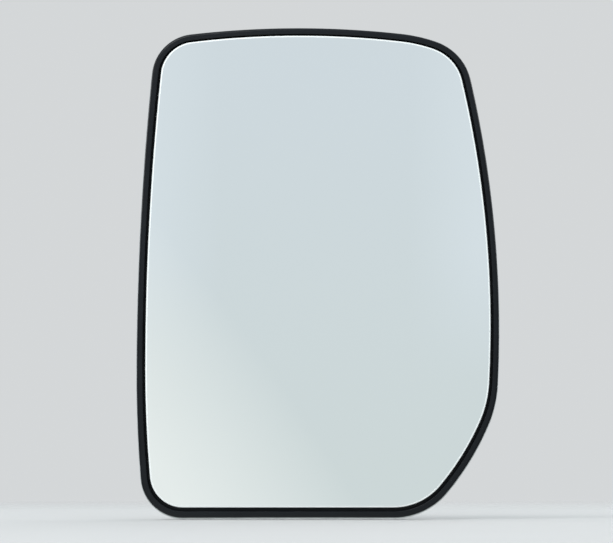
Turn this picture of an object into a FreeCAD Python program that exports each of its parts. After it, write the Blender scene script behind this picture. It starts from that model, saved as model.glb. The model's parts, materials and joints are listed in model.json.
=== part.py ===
"""Clip-on heated mirror glass for a van's door mirror: convex glass, heater layers and backing plate.

Units are millimetres. +Z is up as the mirror stands on the vehicle, the glass faces -Y and the adjuster
plugs in from +Y. The origin is the centre of the adjuster socket, on the seat where the adjuster rests.
"Depth" always means the distance behind the glass's front surface, which is part of a sphere.
"""

import FreeCAD, Part
import math
import os

from FreeCAD import Vector

# --- glass and rim --------------------------------------------------------------------------------
GLASS_RADIUS = 1200.0          # radius of the convex front surface
GLASS_APEX_Y = -9.0            # foremost point of the glass
GLASS_THICKNESS = 2.0
GLASS_EDGE_ROUND = 0.5         # ground edge, front and back
RIM_GAP = 1.35                 # free gap all round between glass edge and rim
RIM_DROP = 0.5                 # the glass is stuck on this much above the middle of the plate
RIM_OFFSET = 4.6               # outer wall at Y = 0, measured out from the glass edge
RIM_DRAFT_DEG = 5.4            # the outer wall widens towards the back
RIM_PROUD = 0.3                # rim stands this far in front of the glass
RIM_ROUND = 1.4                # rounding of the rim's outer front corner
RIM_BACK_DEPTH = 7.9
LIP_ROUND = 0.4                # rounding of the rim's inner front edge and outer back edge
RIM_REACH = 15.0               # the rim stays within this distance of Y = 0
DISH_OVERLAP = 1.0             # how far the dish runs into the rim

# --- outline of the glass, anticlockwise from the left end of the straight lower edge --------------
# (radius, sweep in degrees); the lower edge and a short stretch of the outer side are straight, and
# their lengths follow from closing the outline.
OUTLINE_FIRST = [              # after the lower edge
    (29.5, 50.0),              # lower corner, towards the cut
    (130.0, 16.2),             # the cut corner itself, almost straight
    (54.0, 21.0),              # upper end of the cut
]
OUTLINE_SECOND = [             # after the short straight stretch
    (540.0, 15.5),             # outer side
    (21.5, 58.0),              # top outer corner, tighter part
    (73.0, 13.0),              # top outer corner, wider part
    (460.0, 12.8),             # crowned top edge
    (17.0, 78.0),              # top inner corner
    (1500.0, 5.5),             # inner side, upper part
    (620.0, 5.0),              # inner side, lower part
    (16.0, 85.0),              # lower inner corner
]

# --- layers behind the glass: node, thickness, outline inset ----------------------------------------
LAYER_GAP = 0.02               # keeps bonded faces apart by less than a hair
COATING = 0.10                 # reflecting metal
PAINT = 0.10                   # protective lacquer over it
ADHESIVE = 0.30
FILM = 0.20                    # polyester carrier of the heater
TRACK = 0.10                   # aluminium heating track
COVER = 0.15                   # laminate over the track
PAD_ADHESIVE = 0.12            # on each face of the foam
PAD = 0.60                     # foam that carries the whole stack
COATING_INSET = 0.6
HEATER_INSET = 4.0

# --- backing plate -----------------------------------------------------------------------------------
PLATE_THICKNESS = 2.0
RIB_HEIGHT = 1.95
RIB_THICKNESS = 1.4
RIB_COUNT = 12
RING_RIB_RADIUS = 72.0
EJECTOR_CIRCLE = 62.0
EJECTOR_RADIUS = 2.5
EJECTOR_HEIGHT = 0.2
BORDER_RIB_INSET = 12.0
WALL_OVERLAP = 0.5             # walls start this far inside the dish

# --- adjuster socket --------------------------------------------------------------------------------
SOCKET_RADIUS = 38.0
SOCKET_WALL = 2.2
SOCKET_LENGTH = 7.0
COLLAR_ROUND = 0.6
SEAT_INNER_RADIUS = 33.0
WEB_COUNT = 8
WEB_HUB_RADIUS = 4.0
WEB_TOP_Y = -1.0

# --- clip fingers -----------------------------------------------------------------------------------
FINGER_COUNT = 4
FINGER_WIDTH = 10.5
FINGER_THICKNESS = 1.8
FINGER_INNER_RADIUS = 38.5
WINDOW_CLEARANCE = 0.8         # each side of a finger
FINGER_BACK_GAP = 0.4          # between the seat and a finger's inner face
HOOK_TIP_RADIUS = 36.8
HOOK_START_Y = 7.2
HOOK_UNDERCUT = 0.3            # slope of the hook's underside, so it pulls the joint tight
HOOK_NOSE_Y = 8.5
FINGER_TOP_Y = 10.2
HOOK_ROUND = 0.35
ROOT_RADIUS = 1.2
ROOT_CLEARANCE = 0.06
ROOT_Y = -1.3
ROOT_AXIS_RADIUS = FINGER_INNER_RADIUS + FINGER_THICKNESS / 2

# --- heater terminals ---------------------------------------------------------------------------------
TERMINAL_X = -58.0
TERMINAL_Z = 8.5               # one above and one below the middle
BASE_LENGTH = 13.0
BASE_WIDTH = 6.3
BLADE_HEIGHT = 9.0
BLADE_TAPER = 1.2
DETENT_RADIUS = 0.9
DETENT_FROM_TIP = 3.6
METAL = 0.8
BEND_RADIUS = 0.6
RIVET_PITCH = 6.2
RIVET_SHANK_RADIUS = 1.2
RIVET_HEAD_RADIUS = 2.2
RIVET_HEAD = 0.15
WASHER_RADIUS = 2.6
WASHER = 0.10
RIVET_ROLL = 0.45
RIVET_ROLL_RADIUS = 1.9
RIVET_ROLL_ROUND = 0.27
RIVET_BORE_RADIUS = 0.7
HOLE_CLEARANCE = 0.1
WINDOW_LENGTH = 17.0
WINDOW_WIDTH = 10.0

# --- heater track -----------------------------------------------------------------------------------
TRACK_WIDTH = 2.2
TRACK_PITCH = 10.0
TRACK_MARGIN = 9.0             # from the glass edge to the turns
TRACK_PAD_MARGIN = 0.5         # the track's pads are this much wider than the terminals
LEAD_MARGIN = 6.4              # from the glass edge to the leads up and down the inner side
LEAD_STEPS = 4
TERMINAL_CLEAR_X = -46.0       # the turns stop here beside the terminals
TERMINAL_CLEAR_Z = 17.0

FAR = 40.0                     # longer than anything is deep
ACROSS = 300.0                 # longer than the plate in any direction
PAST = 1.0                     # how far a cutting tool runs past what it cuts
CENTRE = Vector(0, GLASS_APEX_Y + GLASS_RADIUS, 0)


# --- outline -----------------------------------------------------------------------------------------
def heading(degrees):
    return Vector(math.cos(math.radians(degrees)), 0, math.sin(math.radians(degrees)))


def arc_step(radius, start, sweep):
    """Displacement along an arc that starts at heading start and turns left by sweep."""
    return (heading(start + sweep - 90) - heading(start - 90)) * radius


def straight_lengths():
    """Lengths of the lower edge and of the outer side's straight stretch that close the outline."""
    total, angle = Vector(), 0.0
    for radius, sweep in OUTLINE_FIRST:
        total += arc_step(radius, angle, sweep)
        angle += sweep
    side = heading(angle)
    for radius, sweep in OUTLINE_SECOND:
        total += arc_step(radius, angle, sweep)
        angle += sweep
    side_length = -total.z / side.z
    return -total.x - side_length * side.x, side_length


def outline_edges(offset):
    """The glass outline moved outwards by offset, as tangent arcs and lines at Y = 0."""
    lower, side = straight_lengths()
    steps = [(None, lower)] + OUTLINE_FIRST + [(None, side)] + OUTLINE_SECOND
    point, angle, edges = heading(-90) * offset, 0.0, []
    for radius, amount in steps:
        if radius is None:
            end = point + heading(angle) * amount
            edges.append(Part.LineSegment(point, end).toShape())
        else:
            bent = radius + offset
            end = point + arc_step(bent, angle, amount)
            middle = point + arc_step(bent, angle, amount / 2)
            edges.append(Part.Arc(point, middle, end).toShape())
            angle += amount
        point = end
    return edges


BOX = Part.Wire(outline_edges(0.0)).BoundBox
MIDDLE = Vector((BOX.XMin + BOX.XMax) / 2, 0, (BOX.ZMin + BOX.ZMax) / 2)


def outline_wire(offset, y):
    wire = Part.Wire(outline_edges(offset))
    wire.translate(Vector(0, y, 0) - MIDDLE)
    return wire


def prism(offset):
    """Everything inside the outline, from far in front to far behind."""
    return Part.Face(outline_wire(offset, -FAR)).extrude(Vector(0, 2 * FAR, 0))


def plate_wire(offset, y):
    """The outline as the backing plate has it, a little lower than the glass."""
    wire = outline_wire(offset, y)
    wire.translate(Vector(0, 0, -RIM_DROP))
    return wire


def plate_prism(offset):
    """Everything inside the plate's outline, from far in front to far behind."""
    return Part.Face(plate_wire(offset, -FAR)).extrude(Vector(0, 2 * FAR, 0))


# --- spherical layers ----------------------------------------------------------------------------------
def ball(depth):
    """A ball whose surface lies at this depth."""
    return Part.makeSphere(GLASS_RADIUS - depth, CENTRE)


def between(shape, front, back):
    """The part of shape between two depths."""
    return shape.common(ball(front)).cut(ball(back))


def on_glass(shape, x, z):
    """Swing a shape built at the middle of the glass round the sphere's centre, to x and z."""
    placed = shape.copy()
    placed.rotate(CENTRE, Vector(0, 0, 1), math.degrees(math.asin(x / GLASS_RADIUS)))
    placed.rotate(CENTRE, Vector(1, 0, 0), -math.degrees(math.asin(z / GLASS_RADIUS)))
    return placed


def layer_depths():
    """Front and back depth of each layer, from the glass to the backing plate."""
    depths, depth = {}, 0.0
    for name, thickness in (
        ("glass", GLASS_THICKNESS),
        ("coating", COATING),
        ("paint", PAINT),
        ("adhesive", ADHESIVE),
        ("film", FILM),
        ("track", TRACK),
        ("cover", COVER),
        ("pad_front", PAD_ADHESIVE),
        ("pad", PAD),
        ("pad_back", PAD_ADHESIVE),
        ("plate", PLATE_THICKNESS),
    ):
        depths[name] = (depth, depth + thickness)
        depth += thickness + LAYER_GAP
    return depths


DEPTH = layer_depths()
RIB_TOP_DEPTH = DEPTH["plate"][1] + RIB_HEIGHT


def depth_y(depth):
    """Y of a depth at the middle of the glass."""
    return GLASS_APEX_Y + depth


def terminal_places():
    return {"upper": (TERMINAL_X, TERMINAL_Z), "lower": (TERMINAL_X, -TERMINAL_Z)}


def centred_box(length, width, front, back):
    """A box centred on the Y axis: length along X, width along Z, between two depths."""
    corner = Vector(-length / 2, depth_y(front), -width / 2)
    return Part.makeBox(length, back - front, width, corner)


def terminal_windows(front, back):
    box = centred_box(WINDOW_LENGTH, WINDOW_WIDTH, front, back)
    return [on_glass(box, x, z) for x, z in terminal_places().values()]


def rivet_holes(radius, front, back):
    holes = []
    for x, z in terminal_places().values():
        for side in (-0.5, 0.5):
            start = Vector(side * RIVET_PITCH, depth_y(front), 0)
            hole = Part.makeCylinder(radius, back - front, start, Vector(0, 1, 0))
            holes.append(on_glass(hole, x, z))
    return holes


# --- glass and the layers behind it -------------------------------------------------------------------
def edges_at_depth(shape, depth, tolerance=0.02):
    """Edges that lie wholly on the sphere at this depth."""
    radius = GLASS_RADIUS - depth
    found = []
    for edge in shape.Edges:
        first, last = edge.FirstParameter, edge.LastParameter
        points = [edge.valueAt(first + (last - first) * t) for t in (0.0, 0.37, 0.71, 1.0)]
        if all(abs(point.distanceToPoint(CENTRE) - radius) < tolerance for point in points):
            found.append(edge)
    return found


def mirror_glass():
    glass = between(prism(0.0), *DEPTH["glass"])
    rims = edges_at_depth(glass, 0.0) + edges_at_depth(glass, GLASS_THICKNESS)
    return glass.Solids[0].makeFillet(GLASS_EDGE_ROUND, rims)


def mirror_coating():
    return between(prism(-COATING_INSET), *DEPTH["coating"])


def protective_paint():
    return between(prism(-COATING_INSET), *DEPTH["paint"])


def heater_adhesive():
    front, back = DEPTH["adhesive"]
    pockets = rivet_holes(WASHER_RADIUS + HOLE_CLEARANCE, front - PAST, back + PAST)
    return between(prism(-HEATER_INSET), front, back).cut(pockets)


def heater_film():
    front, back = DEPTH["film"]
    holes = rivet_holes(RIVET_SHANK_RADIUS + HOLE_CLEARANCE, front - PAST, back + PAST)
    return between(prism(-HEATER_INSET), front, back).cut(holes)


def side_limits(z, inset):
    """The lowest and highest X inside the outline, inset from it, at height z."""
    line = Part.LineSegment(Vector(-ACROSS, 0, z), Vector(ACROSS, 0, z)).toShape()
    face = Part.Face(outline_wire(-inset, 0))
    cut = face.common(line).BoundBox
    return cut.XMin, cut.XMax


def lead(first, last):
    """Points of a lead that follows the inner side from one height to another."""
    steps = [first + (last - first) * n / LEAD_STEPS for n in range(LEAD_STEPS + 1)]
    return [(side_limits(z, LEAD_MARGIN)[0], z) for z in steps]


def turn_x(first, second, outer):
    """X of the turn that joins two rows of the track."""
    limits = [side_limits(z, TRACK_MARGIN) for z in (first, second)]
    if outer:
        return min(right for left, right in limits)
    if min(abs(first), abs(second)) < TERMINAL_CLEAR_Z:
        return TERMINAL_CLEAR_X
    return max(left for left, right in limits) + 2 * TRACK_WIDTH


def track_route():
    """Corners of the heating track's centreline, from the upper terminal to the lower one."""
    box = outline_wire(-TRACK_MARGIN, 0).BoundBox
    rows = int((box.ZMax - box.ZMin - TRACK_WIDTH) / TRACK_PITCH)
    rows -= rows % 2
    top = (box.ZMax + box.ZMin + (rows - 1) * TRACK_PITCH) / 2
    heights = [top - row * TRACK_PITCH for row in range(rows)]
    places = terminal_places()
    route = [places["upper"]] + lead(TERMINAL_Z, heights[0])
    for row, (first, second) in enumerate(zip(heights, heights[1:])):
        x = turn_x(first, second, outer=row % 2 == 0)
        route += [(x, first), (x, second)]
    route += lead(heights[-1], -TERMINAL_Z) + [places["lower"]]
    return [Vector(x, 0, z) for x, z in route]


def ribbon_face(route, width):
    """A strip of this width along a route of straight runs, with mitred corners."""
    sides = ([], [])
    for index, point in enumerate(route):
        before = route[max(index - 1, 0)]
        after = route[min(index + 1, len(route) - 1)]
        arriving = (point - before) if index else (after - point)
        leaving = (after - point) if index < len(route) - 1 else (point - before)
        normals = [Vector(-step.z, 0, step.x).normalize() for step in (arriving, leaving)]
        mitre = normals[0] + normals[1]
        mitre = mitre * (width / (1 + normals[0].dot(normals[1]))) * 0.5
        sides[0].append(point + mitre)
        sides[1].append(point - mitre)
    corners = sides[0] + sides[1][::-1]
    return Part.Face(Part.makePolygon(corners + corners[:1]))


def heater_track():
    front, back = DEPTH["track"]
    strip = ribbon_face(track_route(), TRACK_WIDTH)
    strip.translate(Vector(0, -FAR, 0))
    body = strip.extrude(Vector(0, 2 * FAR, 0))
    pad = centred_box(BASE_LENGTH, BASE_WIDTH + 2 * TRACK_PAD_MARGIN, front - PAST, back + PAST)
    for x, z in terminal_places().values():
        body = body.fuse(on_glass(pad, x, z))
    holes = rivet_holes(RIVET_SHANK_RADIUS + HOLE_CLEARANCE, front - PAST, back + PAST)
    return between(body, front, back).cut(holes).removeSplitter()


def windowed_layer(name):
    """A layer as large as the heater, open round the terminals."""
    front, back = DEPTH[name]
    return between(prism(-HEATER_INSET), front, back).cut(terminal_windows(front - PAST, back + PAST))


# --- terminals and rivets ------------------------------------------------------------------------------
TERMINAL_SEAT = DEPTH["track"][1] + 2 * LAYER_GAP


def terminal(x, z):
    """A riveted base with a push-on blade bent up at its outer end."""
    base = centred_box(BASE_LENGTH, BASE_WIDTH, TERMINAL_SEAT, TERMINAL_SEAT + METAL)
    end = -BASE_LENGTH / 2
    low = depth_y(TERMINAL_SEAT)
    high, half = low + BLADE_HEIGHT, BASE_WIDTH / 2
    corners = [
        Vector(end, low, -half),
        Vector(end, high - BLADE_TAPER, -half),
        Vector(end, high, BLADE_TAPER - half),
        Vector(end, high, half - BLADE_TAPER),
        Vector(end, high - BLADE_TAPER, half),
        Vector(end, low, half),
    ]
    blade = Part.Face(Part.makePolygon(corners + corners[:1])).extrude(Vector(METAL, 0, 0))
    body = base.fuse(blade).removeSplitter()
    bend = [
        edge for edge in body.Edges
        if all(abs(v.X - end) < 1e-6 and abs(v.Y - low) < 1e-6 for v in edge.Vertexes)
    ]
    body = body.makeFillet(BEND_RADIUS, bend)
    detent = Vector(end - METAL, high - DETENT_FROM_TIP, 0)
    body = body.cut(Part.makeCylinder(DETENT_RADIUS, 3 * METAL, detent, Vector(1, 0, 0)))
    radius = RIVET_SHANK_RADIUS + HOLE_CLEARANCE
    holes = rivet_holes(radius, TERMINAL_SEAT - METAL, TERMINAL_SEAT + 2 * METAL)
    return on_glass(body, x, z).cut(holes)


def disc(radius, side, front, back):
    """A disc or pin at one of the terminal's two rivet places, between two depths."""
    start = Vector(side * RIVET_PITCH, depth_y(front), 0)
    return Part.makeCylinder(radius, back - front, start, Vector(0, 1, 0))


def rivet_washers(x, z):
    """Two thin washers between the rivet heads and the film."""
    back = DEPTH["film"][0] - LAYER_GAP
    pair = []
    for side in (-0.5, 0.5):
        washer = disc(WASHER_RADIUS, side, back - WASHER, back)
        hole = disc(RIVET_SHANK_RADIUS + HOLE_CLEARANCE, side, back - 2 * WASHER, back + WASHER)
        pair.append(on_glass(washer.cut(hole), x, z))
    return Part.makeCompound(pair)


def rivets(x, z):
    """Two tubular rivets through washer, film, track and the terminal's base."""
    head_back = DEPTH["film"][0] - WASHER - 2 * LAYER_GAP
    roll_front = TERMINAL_SEAT + METAL + LAYER_GAP
    roll_back = roll_front + RIVET_ROLL
    pair = []
    for side in (-0.5, 0.5):
        head = disc(RIVET_HEAD_RADIUS, side, head_back - RIVET_HEAD, head_back)
        shank = disc(RIVET_SHANK_RADIUS, side, head_back, roll_front)
        roll = disc(RIVET_ROLL_RADIUS, side, roll_front, roll_back)
        rounded = [edge for edge in roll.Edges if edge.BoundBox.YMin > depth_y(roll_back) - 0.01]
        roll = roll.makeFillet(RIVET_ROLL_ROUND, rounded)
        bore = disc(RIVET_BORE_RADIUS, side, roll_front - RIVET_ROLL, roll_back)
        pair.append(on_glass(head.fuse([shank, roll]).cut(bore), x, z))
    return Part.makeCompound(pair)


# --- backing plate -------------------------------------------------------------------------------------
def rim():
    """Wall round the glass with a rounded outer front corner and a slight draft."""
    slope = math.tan(math.radians(RIM_DRAFT_DEG))
    wires = [plate_wire(RIM_OFFSET + y * slope, y) for y in (-RIM_REACH, RIM_REACH)]
    body = between(Part.makeLoft(wires, True, True), -RIM_PROUD, RIM_BACK_DEPTH)
    body = body.Solids[0]
    body = body.makeFillet(RIM_ROUND, edges_at_depth(body, -RIM_PROUD))
    body = body.makeFillet(LIP_ROUND, edges_at_depth(body, RIM_BACK_DEPTH))
    body = body.cut(plate_prism(RIM_GAP)).Solids[0]
    near_glass = plate_prism(RIM_GAP + LIP_ROUND / 2)
    lip = [
        edge for edge in edges_at_depth(body, -RIM_PROUD)
        if near_glass.isInside(edge.valueAt(edge.FirstParameter), 0.01, True)
    ]
    return body.makeFillet(LIP_ROUND, lip)


def dish():
    """Curved wall behind the foam pad."""
    return between(plate_prism(RIM_GAP + DISH_OVERLAP), *DEPTH["plate"])


def upright_ring(inner, outer, low, high):
    """A ring round the Y axis, between two heights in Y."""
    axis = Vector(0, 1, 0)
    body = Part.makeCylinder(outer, high - low, Vector(0, low, 0), axis)
    return body.cut(Part.makeCylinder(inner, high - low, Vector(0, low, 0), axis))


def spoke(reach, thickness, low, high, angle):
    """A wall from the Y axis outwards, turned by angle."""
    box = Part.makeBox(reach, high - low, thickness, Vector(0, low, -thickness / 2))
    box.rotate(Vector(), Vector(0, 1, 0), angle)
    return box


def ribs():
    """Radial, ring and border ribs on the back of the dish."""
    low, high = -FAR, FAR
    step = 360.0 / RIB_COUNT
    radial = [spoke(ACROSS, RIB_THICKNESS, low, high, step * n) for n in range(RIB_COUNT)]
    half = RIB_THICKNESS / 2
    ring = upright_ring(RING_RIB_RADIUS - half, RING_RIB_RADIUS + half, low, high)
    border = plate_prism(half - BORDER_RIB_INSET).cut(plate_prism(-half - BORDER_RIB_INSET))
    body = radial[0].fuse(radial[1:] + [ring, border])
    body = body.common(plate_prism(RIM_GAP + DISH_OVERLAP))
    hub = Part.makeCylinder(SOCKET_RADIUS + SOCKET_WALL / 2, 2 * FAR, Vector(0, low, 0), Vector(0, 1, 0))
    return between(body.cut(hub), DEPTH["plate"][1] - WALL_OVERLAP, RIB_TOP_DEPTH)


def ejector_marks():
    """Slightly raised round marks where the mould's pins push the plate out, between the ribs."""
    marks = []
    for n in range(RIB_COUNT):
        angle = math.radians(360.0 / RIB_COUNT * (n + 0.5))
        start = Vector(math.cos(angle), 0, math.sin(angle)) * EJECTOR_CIRCLE
        pin = Part.makeCylinder(EJECTOR_RADIUS, 2 * FAR, start - Vector(0, FAR, 0), Vector(0, 1, 0))
        back = DEPTH["plate"][1]
        marks.append(between(pin, back - WALL_OVERLAP, back + EJECTOR_HEIGHT))
    return marks


def window_frames():
    """Low walls round the terminal windows; the windows themselves are cut later."""
    length, width = WINDOW_LENGTH + 2 * RIB_THICKNESS, WINDOW_WIDTH + 2 * RIB_THICKNESS
    box = centred_box(length, width, DEPTH["plate"][1] - WALL_OVERLAP, RIB_TOP_DEPTH)
    return [on_glass(box, x, z) for x, z in terminal_places().values()]


def socket():
    """Collar, annular seat and the webs inside it, down into the dish."""
    low = depth_y(DEPTH["plate"][1]) - WALL_OVERLAP
    collar = upright_ring(SOCKET_RADIUS, SOCKET_RADIUS + SOCKET_WALL, low, SOCKET_LENGTH)
    outer_edge = [
        edge for edge in collar.Edges
        if edge.BoundBox.YMin > SOCKET_LENGTH - 0.01 and edge.BoundBox.XMax > SOCKET_RADIUS + 0.01
    ]
    collar = collar.makeFillet(COLLAR_ROUND, outer_edge)
    seat = upright_ring(SEAT_INNER_RADIUS, SOCKET_RADIUS + SOCKET_WALL, low, 0.0)
    hub = Part.makeCylinder(WEB_HUB_RADIUS, WEB_TOP_Y - low, Vector(0, low, 0), Vector(0, 1, 0))
    webs = [
        spoke(SEAT_INNER_RADIUS + WALL_OVERLAP, RIB_THICKNESS, low, WEB_TOP_Y, 360.0 / WEB_COUNT * n)
        for n in range(WEB_COUNT)
    ]
    return collar.fuse([seat, hub] + webs)


def finger_window():
    """Slot in the collar for one finger, with the round groove of its root, at +X."""
    half = FINGER_WIDTH / 2 + WINDOW_CLEARANCE
    behind = FINGER_INNER_RADIUS - FINGER_BACK_GAP
    reach = SOCKET_WALL + FINGER_THICKNESS
    slot = Part.makeBox(reach, FINGER_TOP_Y - ROOT_Y, 2 * half, Vector(behind, ROOT_Y, -half))
    mouth = Part.makeBox(reach, FINGER_TOP_Y, 2 * half, Vector(behind - reach / 2, 0, -half))
    root = Vector(ROOT_AXIS_RADIUS, ROOT_Y, -half)
    groove = Part.makeCylinder(ROOT_RADIUS + ROOT_CLEARANCE, 2 * half, root, Vector(0, 0, 1))
    return slot.fuse([mouth, groove])


def finger_block():
    """Block under each finger that its root sits in, at +X."""
    low = depth_y(DEPTH["plate"][1]) - WALL_OVERLAP
    half = FINGER_WIDTH / 2 + WINDOW_CLEARANCE
    return Part.makeBox(2 * ROOT_RADIUS, ROOT_Y - low, 2 * half, Vector(ROOT_AXIS_RADIUS, low, -half))


def turned(shape, index):
    """A copy of a shape built at +X, turned to finger number index."""
    placed = shape.copy()
    placed.rotate(Vector(), Vector(0, 1, 0), -360.0 / FINGER_COUNT * index)
    return placed


def backing_plate():
    blocks = [turned(finger_block(), n) for n in range(FINGER_COUNT)]
    windows = [turned(finger_window(), n) for n in range(FINGER_COUNT)]
    body = rim().fuse([dish(), ribs(), socket()] + ejector_marks() + window_frames() + blocks)
    openings = terminal_windows(DEPTH["plate"][0] - PAST, RIB_TOP_DEPTH + PAST)
    return body.cut(windows + openings).removeSplitter()


def clip_finger(index):
    """Clip finger: round root, thin leg and hook, built at +X and turned to its place."""
    inner, outer = FINGER_INNER_RADIUS, FINGER_INNER_RADIUS + FINGER_THICKNESS
    profile = [
        (inner, ROOT_Y),
        (outer, ROOT_Y),
        (outer, FINGER_TOP_Y),
        (inner, FINGER_TOP_Y),
        (HOOK_TIP_RADIUS, HOOK_NOSE_Y),
        (HOOK_TIP_RADIUS, HOOK_START_Y + HOOK_UNDERCUT),
        (inner, HOOK_START_Y),
    ]
    corners = [Vector(r, y, -FINGER_WIDTH / 2) for r, y in profile]
    leg = Part.Face(Part.makePolygon(corners + corners[:1])).extrude(Vector(0, 0, FINGER_WIDTH))
    hook_edges = [
        edge for edge in leg.Edges
        if edge.BoundBox.ZLength > FINGER_WIDTH - 0.01 and edge.BoundBox.YMin > HOOK_START_Y + 0.01
    ]
    leg = leg.makeFillet(HOOK_ROUND, hook_edges)
    root = Part.makeCylinder(
        ROOT_RADIUS, FINGER_WIDTH, Vector(ROOT_AXIS_RADIUS, ROOT_Y, -FINGER_WIDTH / 2), Vector(0, 0, 1)
    )
    return turned(leg.fuse(root).removeSplitter(), index)


# --- all nodes --------------------------------------------------------------------------------------------
def nodes():
    made = {
        "mirror_glass": mirror_glass(),
        "mirror_coating": mirror_coating(),
        "protective_paint": protective_paint(),
        "heater_adhesive": heater_adhesive(),
        "heater_film": heater_film(),
        "heater_track": heater_track(),
        "heater_cover": windowed_layer("cover"),
        "pad_adhesive_front": windowed_layer("pad_front"),
        "foam_pad": windowed_layer("pad"),
        "pad_adhesive_back": windowed_layer("pad_back"),
        "backing_plate": backing_plate(),
    }
    for name, (x, z) in terminal_places().items():
        made["terminal_" + name] = terminal(x, z)
        made["rivets_" + name] = rivets(x, z)
        made["rivet_washers_" + name] = rivet_washers(x, z)
    for index, side in enumerate(("right", "top", "left", "bottom")):
        made["clip_finger_" + side] = clip_finger(index)
    return made


def main():
    os.makedirs("parts", exist_ok=True)
    for name, shape in nodes().items():
        shape.exportStep(os.path.join("parts", name + ".step"))
        print(f"{name}: {len(shape.Solids)} solid(s), {shape.Volume / 1000:.2f} cm3, valid {shape.isValid()}")


main()
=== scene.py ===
"""Looks of the van door mirror glass: materials, a finely curved glass pane, stage, light and camera.

Everything is in metres in the part's own frame: the glass faces -Y and +Z is up.
"""

import json
import math

import bpy
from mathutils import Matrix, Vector


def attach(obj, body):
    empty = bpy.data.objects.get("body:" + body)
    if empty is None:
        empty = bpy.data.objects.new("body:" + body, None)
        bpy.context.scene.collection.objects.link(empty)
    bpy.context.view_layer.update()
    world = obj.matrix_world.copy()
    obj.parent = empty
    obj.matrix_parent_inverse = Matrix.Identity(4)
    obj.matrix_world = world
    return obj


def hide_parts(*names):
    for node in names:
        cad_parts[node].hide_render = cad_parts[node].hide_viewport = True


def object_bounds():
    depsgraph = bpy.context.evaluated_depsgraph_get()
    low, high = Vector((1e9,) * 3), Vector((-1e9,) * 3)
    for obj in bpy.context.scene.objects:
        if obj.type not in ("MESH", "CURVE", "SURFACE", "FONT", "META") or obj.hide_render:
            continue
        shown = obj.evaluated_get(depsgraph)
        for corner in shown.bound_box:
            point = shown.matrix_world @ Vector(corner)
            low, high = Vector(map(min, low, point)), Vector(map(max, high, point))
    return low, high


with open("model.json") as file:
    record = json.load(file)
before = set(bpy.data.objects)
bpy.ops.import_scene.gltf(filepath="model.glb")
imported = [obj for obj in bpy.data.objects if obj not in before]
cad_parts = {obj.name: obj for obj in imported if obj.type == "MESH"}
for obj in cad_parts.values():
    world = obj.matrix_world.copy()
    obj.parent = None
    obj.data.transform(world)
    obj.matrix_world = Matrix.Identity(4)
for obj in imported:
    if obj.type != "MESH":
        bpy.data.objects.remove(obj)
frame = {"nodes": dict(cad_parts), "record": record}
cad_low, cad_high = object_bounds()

MM = 0.001

# --- glass pane, as in the CAD ---------------------------------------------------------------------
GLASS_RADIUS = 1200 * MM
GLASS_APEX_Y = -9 * MM
GLASS_THICKNESS = 2 * MM
EDGE_ROUND = 0.5 * MM
GROUND_EDGE = 0.75 * MM         # width of the bright ground band seen from the front
OUTLINE_FIRST = [(29.5, 50.0), (130.0, 16.2), (54.0, 21.0)]
OUTLINE_SECOND = [
    (540.0, 15.5), (21.5, 58.0), (73.0, 13.0), (460.0, 12.8),
    (17.0, 78.0), (1500.0, 5.5), (620.0, 5.0), (16.0, 85.0),
]
ARC_STEPS = 22
PANE_RINGS = 48                 # over the mirror face
EDGE_STEPS = 5                  # round each corner of the ground edge
REAR_RINGS = 8

# --- camera -------------------------------------------------------------------------------------------
CAMERA_DISTANCE = 1.3
CAMERA_ELEVATION = -4.5
CAMERA_LENS = 157.4
AIM = Vector((-0.0056, GLASS_APEX_Y, -0.0012))


# --- surroundings: colours, and the parts of a unit direction over which they change -----------------------
GLOW = Vector((-0.78, -0.30, -0.55))    # towards the brightest part of what the glass reflects
SKY_LOW = (0.694, 0.764, 0.765, 1)
SKY_HIGH = (0.705, 0.775, 0.815, 1)
SKY_FLANKS = (0.748, 0.820, 0.858, 1)
SKY_GLOW = (0.900, 0.943, 0.925, 1)
SKY_HEIGHT = (-0.15, 0.30)
FLANKS_FROM_TO = (0.11, 0.19)
FLANKS_HEIGHT = (-0.05, 0.10)
GLOW_FROM_TO = (0.36, 0.52)
SIDES_FROM_TO = (0.45, 0.95)
BEHIND_FROM_TO = (0.5, 0.9)
SIDE_DIMMING = 0.30                     # how bright reflections to the sides are
BACK_BRIGHTENING = 1.8                  # the same for reflections behind the plate
BACKDROP = (0.66, 0.68, 0.69, 1)

# --- floor ----------------------------------------------------------------------------------------------
FLOOR_RADIUS = 3.0
FLOOR_SIDES = 96
FLOOR_GAP = 0.1 * MM
FLOOR_FADE = (0.35, 1.5)                # distances over which it turns transparent


# --- outline ------------------------------------------------------------------------------------------
def heading(degrees):
    return Vector((math.cos(math.radians(degrees)), math.sin(math.radians(degrees))))


def arc_step(radius, start, sweep):
    return (heading(start + sweep - 90) - heading(start - 90)) * radius


def straight_lengths():
    """Lengths of the two straight stretches that close the outline."""
    total, angle = Vector((0.0, 0.0)), 0.0
    for radius, sweep in OUTLINE_FIRST:
        total += arc_step(radius * MM, angle, sweep)
        angle += sweep
    side = heading(angle)
    for radius, sweep in OUTLINE_SECOND:
        total += arc_step(radius * MM, angle, sweep)
        angle += sweep
    side_length = -total.y / side.y
    return -total.x - side_length * side.x, side_length


def outline_points(offset):
    """Points of the glass outline moved outwards by offset, as (x, z), not yet centred."""
    lower, side = straight_lengths()
    steps = [(None, lower)] + OUTLINE_FIRST + [(None, side)] + OUTLINE_SECOND
    point, angle, points = heading(-90) * offset, 0.0, []
    for radius, amount in steps:
        for n in range(ARC_STEPS):
            part = amount * n / ARC_STEPS
            if radius is None:
                points.append(point + heading(angle) * part)
            else:
                points.append(point + arc_step(radius * MM + offset, angle, part))
        if radius is None:
            point = point + heading(angle) * amount
        else:
            point = point + arc_step(radius * MM + offset, angle, amount)
            angle += amount
    return points


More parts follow.
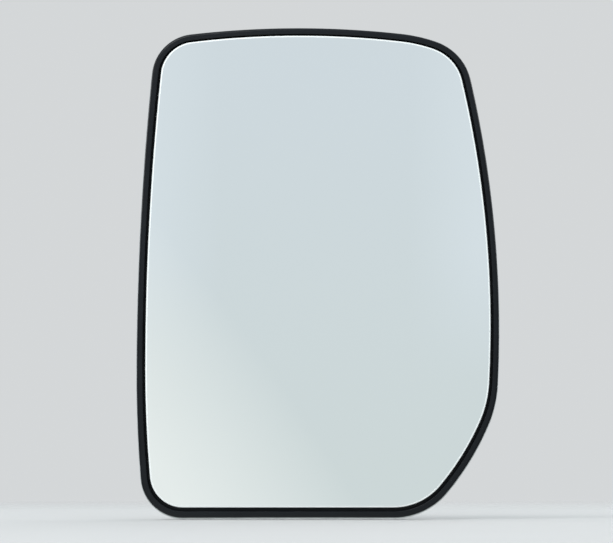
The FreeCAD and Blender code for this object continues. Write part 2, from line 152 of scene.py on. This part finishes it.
def outline_middle():
    points = outline_points(0.0)
    xs, zs = [p.x for p in points], [p.y for p in points]
    return Vector(((min(xs) + max(xs)) / 2, (min(zs) + max(zs)) / 2))


MIDDLE = outline_middle()


def on_sphere(x, z, depth):
    """Point at this depth behind the glass's front surface."""
    radius = GLASS_RADIUS - depth
    return Vector((x, GLASS_APEX_Y + GLASS_RADIUS - math.sqrt(radius ** 2 - x ** 2 - z ** 2), z))


def ring(offset, depth, scale=1.0):
    return [on_sphere(*((p - MIDDLE) * scale), depth) for p in outline_points(offset)]


# --- the pane's mesh ----------------------------------------------------------------------------------
def edge_profile():
    """(offset, depth) round the ground edge, from the front face to the rear face."""
    quarter = [math.radians(90 * n / EDGE_STEPS) for n in range(EDGE_STEPS + 1)]
    front = [(EDGE_ROUND * (math.sin(a) - 1), EDGE_ROUND * (1 - math.cos(a))) for a in quarter]
    rear = [(offset, GLASS_THICKNESS - depth) for offset, depth in reversed(front)]
    return front + rear


def pane_mesh():
    """Closed mesh of the glass; its face takes the first material, edge and rear the second."""
    rings = [ring(-GROUND_EDGE, 0.0, (n + 1) / PANE_RINGS) for n in range(PANE_RINGS)]
    mirror_rings = len(rings)
    rings += [ring(offset, depth) for offset, depth in edge_profile()]
    rings += [ring(-EDGE_ROUND, GLASS_THICKNESS, 1 - (n + 1) / REAR_RINGS) for n in range(REAR_RINGS - 1)]
    count = len(rings[0])
    verts = [v for points in rings for v in points]
    front, rear = len(verts), len(verts) + 1
    verts += [on_sphere(0, 0, 0), on_sphere(0, 0, GLASS_THICKNESS)]
    faces, slots = [], []
    for n in range(count):
        faces.append((front, n, (n + 1) % count))
        slots.append(0)
    for r in range(len(rings) - 1):
        for n in range(count):
            a, b = r * count + n, r * count + (n + 1) % count
            faces.append((a, a + count, b + count, b))
            slots.append(0 if r < mirror_rings - 1 else 1)
    last = (len(rings) - 1) * count
    for n in range(count):
        faces.append((rear, last + (n + 1) % count, last + n))
        slots.append(1)
    mesh = bpy.data.meshes.new("glass_pane")
    mesh.from_pydata(verts, [], faces)
    mesh.polygons.foreach_set("material_index", slots)
    mesh.polygons.foreach_set("use_smooth", [True] * len(faces))
    mesh.validate()
    mesh.update()
    return mesh


# --- node helpers ---------------------------------------------------------------------------------------
def add_node(tree, kind, inputs=(), **settings):
    """A shader node whose inputs are linked to sockets or set to values."""
    made = tree.nodes.new("ShaderNode" + kind)
    for key, value in settings.items():
        setattr(made, key, value)
    for key, value in dict(inputs).items():
        if isinstance(value, bpy.types.NodeSocket):
            tree.links.new(value, made.inputs[key])
        else:
            made.inputs[key].default_value = value
    return made


class Shader:
    """A node material with one Principled shader and object coordinates in metres."""

    def __init__(self, name, **sockets):
        self.material = bpy.data.materials.new(name)
        self.material.use_nodes = True
        self.tree = self.material.node_tree
        self.surface = self.tree.nodes["Principled BSDF"]
        self.place = self.tree.nodes.new("ShaderNodeTexCoord").outputs["Object"]
        self.height = None
        for socket, value in sockets.items():
            self.surface.inputs[socket.replace("_", " ")].default_value = value

    def node(self, kind, inputs=(), **settings):
        return add_node(self.tree, kind, inputs, **settings)

    def link(self, output, socket):
        self.tree.links.new(output, self.surface.inputs[socket])

    def noise(self, size, detail=4.0, roughness=0.55, stretch=(1, 1, 1)):
        """Noise from 0 to 1 with features of this size in metres."""
        place = self.node("Mapping", {"Vector": self.place, "Scale": stretch}).outputs["Vector"]
        made = self.node(
            "TexNoise", {"Vector": place, "Scale": 1 / size, "Detail": detail, "Roughness": roughness}
        )
        return made.outputs["Fac"]

    def cells(self, size, feature="F1"):
        made = self.node("TexVoronoi", {"Vector": self.place, "Scale": 1 / size}, feature=feature)
        return made.outputs["Distance"]

    def spread(self, value, low, high, start=0.3, stop=0.7):
        """value from start..stop stretched to low..high."""
        inputs = {"Value": value, "From Min": start, "From Max": stop, "To Min": low, "To Max": high}
        return self.node("MapRange", inputs).outputs["Result"]

    def colours(self, factor, first, second):
        made = self.node("Mix", {0: factor, 6: (*first, 1), 7: (*second, 1)}, data_type="RGBA")
        return made.outputs[2]

    def bump(self, height, distance, strength=1.0):
        """Adds relief of this height in metres."""
        inputs = {"Height": height, "Distance": distance, "Strength": strength}
        if self.height:
            inputs["Normal"] = self.height
        self.height = self.node("Bump", inputs).outputs["Normal"]
        self.link(self.height, "Normal")


# --- materials ------------------------------------------------------------------------------------------
def mirror_face():
    made = Shader("mirror_face", Metallic=1.0)
    haze = made.noise(30 * MM, detail=6)
    made.link(made.spread(haze, 0.004, 0.022), "Roughness")
    tint = made.colours(made.noise(60 * MM), (0.865, 0.885, 0.890), (0.875, 0.893, 0.897))
    made.link(tint, "Base Color")
    return made.material


def ground_glass():
    made = Shader("ground_glass", IOR=1.5)
    grain = made.noise(0.12 * MM, detail=3)
    made.link(made.spread(grain, 0.45, 0.65), "Roughness")
    made.link(made.colours(made.noise(2 * MM), (0.86, 0.90, 0.90), (0.96, 0.98, 0.97)), "Base Color")
    made.bump(grain, 0.01 * MM)
    return made.material


def moulded_plastic(name, dark, light, rough):
    """Black moulded plastic: fine spark-eroded grain, faint flow shading and a little dust."""
    made = Shader(name, IOR=1.5, Specular_IOR_Level=0.20)
    flow = made.noise(35 * MM, detail=3)
    dust = made.spread(made.noise(1.3 * MM, detail=8, roughness=0.7), 0.0, 0.05, start=0.60, stop=0.80)
    shade = made.colours(made.spread(flow, 0, 1), dark, light)
    mixed = made.node("Mix", {0: dust, 6: shade, 7: (0.20, 0.20, 0.19, 1)}, data_type="RGBA")
    made.link(mixed.outputs[2], "Base Color")
    made.link(made.spread(made.noise(6 * MM, detail=6), rough - 0.05, rough + 0.07), "Roughness")
    made.bump(made.cells(0.35 * MM), 0.010 * MM)
    made.bump(made.noise(0.9 * MM, detail=5), 0.012 * MM)
    return made.material


def foam():
    made = Shader("foam", IOR=1.45)
    pores = made.cells(0.4 * MM)
    made.link(made.colours(pores, (0.010, 0.010, 0.010), (0.045, 0.045, 0.045)), "Base Color")
    made.link(made.spread(made.noise(2 * MM), 0.80, 0.95), "Roughness")
    made.bump(pores, 0.12 * MM)
    return made.material


def layer_film(name, first, second, rough):
    """Thin plastic or lacquer layer with a slight ripple."""
    made = Shader(name, IOR=1.5)
    made.link(made.colours(made.spread(made.noise(8 * MM), 0, 1), first, second), "Base Color")
    made.link(made.spread(made.noise(3 * MM), rough - 0.06, rough + 0.06), "Roughness")
    made.bump(made.noise(5 * MM, detail=2), 0.02 * MM)
    return made.material


def bare_metal(name, first, second, rough):
    """Plated or plain metal with fine rolling lines and slight tarnish."""
    made = Shader(name, Metallic=1.0)
    lines = made.noise(0.25 * MM, detail=3, stretch=(1, 1, 0.05))
    made.link(made.colours(made.spread(made.noise(1.5 * MM), 0, 1), first, second), "Base Color")
    made.link(made.spread(lines, rough - 0.06, rough + 0.10), "Roughness")
    made.bump(lines, 0.006 * MM)
    return made.material


NODE_MATERIALS = {
    "black_plastic": moulded_plastic("plate_plastic", (0.004, 0.005, 0.007), (0.006, 0.008, 0.011), 0.32),
    "finger_plastic": moulded_plastic("finger_plastic", (0.008, 0.009, 0.011), (0.011, 0.012, 0.014), 0.34),
    "mirror_metal": bare_metal("mirror_metal", (0.80, 0.82, 0.83), (0.86, 0.87, 0.88), 0.10),
    "backing_lacquer": layer_film("backing_lacquer", (0.055, 0.055, 0.06), (0.08, 0.08, 0.085), 0.55),
    "clear_adhesive": layer_film("clear_adhesive", (0.62, 0.61, 0.56), (0.70, 0.69, 0.65), 0.35),
    "heater_film": layer_film("heater_film", (0.52, 0.44, 0.26), (0.60, 0.51, 0.31), 0.30),
    "heater_foil": bare_metal("heater_foil", (0.72, 0.72, 0.73), (0.80, 0.80, 0.81), 0.28),
    "heater_laminate": layer_film("heater_laminate", (0.012, 0.012, 0.013), (0.020, 0.020, 0.022), 0.38),
    "foam": foam(),
    "tinned_brass": bare_metal("tinned_brass", (0.66, 0.65, 0.62), (0.76, 0.75, 0.72), 0.27),
    "rivet_metal": bare_metal("rivet_metal", (0.63, 0.48, 0.24), (0.72, 0.57, 0.31), 0.25),
}


def dress_cad_nodes():
    """Gives each CAD node the material of its slot; the glass is replaced, so its slot has none."""
    for row in frame["record"]["subparts"]:
        node = frame["nodes"][row["node"]]
        made = NODE_MATERIALS.get(row["material_slot"])
        if made:
            node.data.materials.clear()
            node.data.materials.append(made)


def glass_pane():
    """The finely curved glass, in place of the CAD's faceted one."""
    pane = bpy.data.objects.new("glass_pane", pane_mesh())
    bpy.context.scene.collection.objects.link(pane)
    pane.data.materials.append(mirror_face())
    pane.data.materials.append(ground_glass())
    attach(pane, "plate_and_glass")
    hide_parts("mirror_glass")


# --- stage, light, camera ---------------------------------------------------------------------------------
def floor():
    """A large pale disc that fades into the surroundings, and that reflections don't show."""
    mesh = bpy.data.meshes.new("floor")
    turns = [2 * math.pi * n / FLOOR_SIDES for n in range(FLOOR_SIDES)]
    corners = [(FLOOR_RADIUS * math.cos(a), FLOOR_RADIUS * math.sin(a), 0) for a in turns]
    mesh.from_pydata(corners, [], [range(FLOOR_SIDES)])
    disc = bpy.data.objects.new("floor", mesh)
    disc.location.z = cad_low.z - FLOOR_GAP
    bpy.context.scene.collection.objects.link(disc)
    made = Shader("floor", Roughness=0.85)
    made.link(made.colours(made.noise(0.2), (0.530, 0.525, 0.520), (0.545, 0.540, 0.535)), "Base Color")
    length = made.node("VectorMath", {0: made.place}, operation="LENGTH").outputs["Value"]
    fade = made.node(
        "MapRange",
        {"Value": length, "From Min": FLOOR_FADE[0], "From Max": FLOOR_FADE[1]},
        interpolation_type="SMOOTHSTEP",
    )
    clear = made.node("BsdfTransparent")
    blend = made.node("MixShader", {
        0: fade.outputs["Result"], 1: made.surface.outputs["BSDF"], 2: clear.outputs["BSDF"],
    })
    made.tree.links.new(blend.outputs["Shader"], made.tree.nodes["Material Output"].inputs["Surface"])
    disc.data.materials.append(made.material)
    disc.visible_glossy = False


def surroundings():
    """Soft studio light: brighter towards the lower left of the glass, dimmer at both sides."""
    world = bpy.data.worlds.new("studio")
    world.use_nodes = True
    bpy.context.scene.world = world
    tree = world.node_tree

    def node(kind, inputs, output, **settings):
        return add_node(tree, kind, inputs, **settings).outputs[output]

    def ramp(value, start, stop, low=0.0, high=1.0):
        inputs = {"Value": value, "From Min": start, "From Max": stop, "To Min": low, "To Max": high}
        return node("MapRange", inputs, "Result")

    def blend(factor, first, second):
        return node("Mix", {0: factor, 6: first, 7: second}, 2, data_type="RGBA")

    direction = node("TexCoord", {}, "Generated")
    x, y, z = add_node(tree, "SeparateXYZ", {"Vector": direction}).outputs
    glow = node("VectorMath", {0: direction, 1: GLOW.normalized()}, "Value", operation="DOT_PRODUCT")
    across = node("Math", {0: x}, 0, operation="ABSOLUTE")
    flanks = node(
        "Math", {0: ramp(across, *FLANKS_FROM_TO), 1: ramp(z, *FLANKS_HEIGHT)}, 0, operation="MULTIPLY"
    )
    sky = blend(ramp(z, *SKY_HEIGHT), SKY_LOW, SKY_HIGH)
    sky = blend(flanks, sky, SKY_FLANKS)
    sky = blend(ramp(glow, *GLOW_FROM_TO), sky, SKY_GLOW)
    sides = ramp(across, *SIDES_FROM_TO, 1.0, SIDE_DIMMING)
    behind = ramp(y, *BEHIND_FROM_TO, 1.0, BACK_BRIGHTENING)
    strength = node("Math", {0: sides, 1: behind}, 0, operation="MULTIPLY")
    glossy = node("VectorMath", {0: sky, "Scale": strength}, "Vector", operation="SCALE")
    rays = add_node(tree, "LightPath")
    seen = blend(rays.outputs["Is Glossy Ray"], sky, glossy)
    seen = blend(rays.outputs["Is Camera Ray"], seen, BACKDROP)
    tree.links.new(seen, tree.nodes["Background"].inputs["Color"])


def softbox(name, place, size, power, in_reflections=True):
    """A square area light aimed at the origin."""
    lamp = bpy.data.lights.new(name, "AREA")
    lamp.size, lamp.energy = size, power
    made = bpy.data.objects.new(name, lamp)
    made.location = place
    made.rotation_euler = (-Vector(place)).to_track_quat("-Z", "Y").to_euler()
    made.visible_glossy = in_reflections
    bpy.context.scene.collection.objects.link(made)


def camera():
    made = bpy.data.objects.new("camera", bpy.data.cameras.new("camera"))
    tilt = math.radians(CAMERA_ELEVATION)
    made.location = AIM + Vector((0, -math.cos(tilt), math.sin(tilt))) * CAMERA_DISTANCE
    made.rotation_euler = (AIM - made.location).to_track_quat("-Z", "Y").to_euler()
    made.data.lens = CAMERA_LENS
    made.data.sensor_width = 36.0
    made.data.clip_start = 0.01
    bpy.context.scene.collection.objects.link(made)
    bpy.context.scene.camera = made


dress_cad_nodes()
glass_pane()
floor()
surroundings()
softbox("key", (-0.8, -1.0, 1.6), 0.9, 12)
softbox("rim_left", (-1.2, 0.3, 0.5), 0.6, 5)
softbox("rim_right", (1.2, 0.3, 0.5), 0.6, 5)
softbox("front_fill", (-0.4, -1.5, 0.30), 0.7, 6, in_reflections=False)
softbox("back_key", (0.7, 1.3, 0.9), 0.9, 4)
camera()
bpy.context.scene.view_settings.view_transform = "Standard"
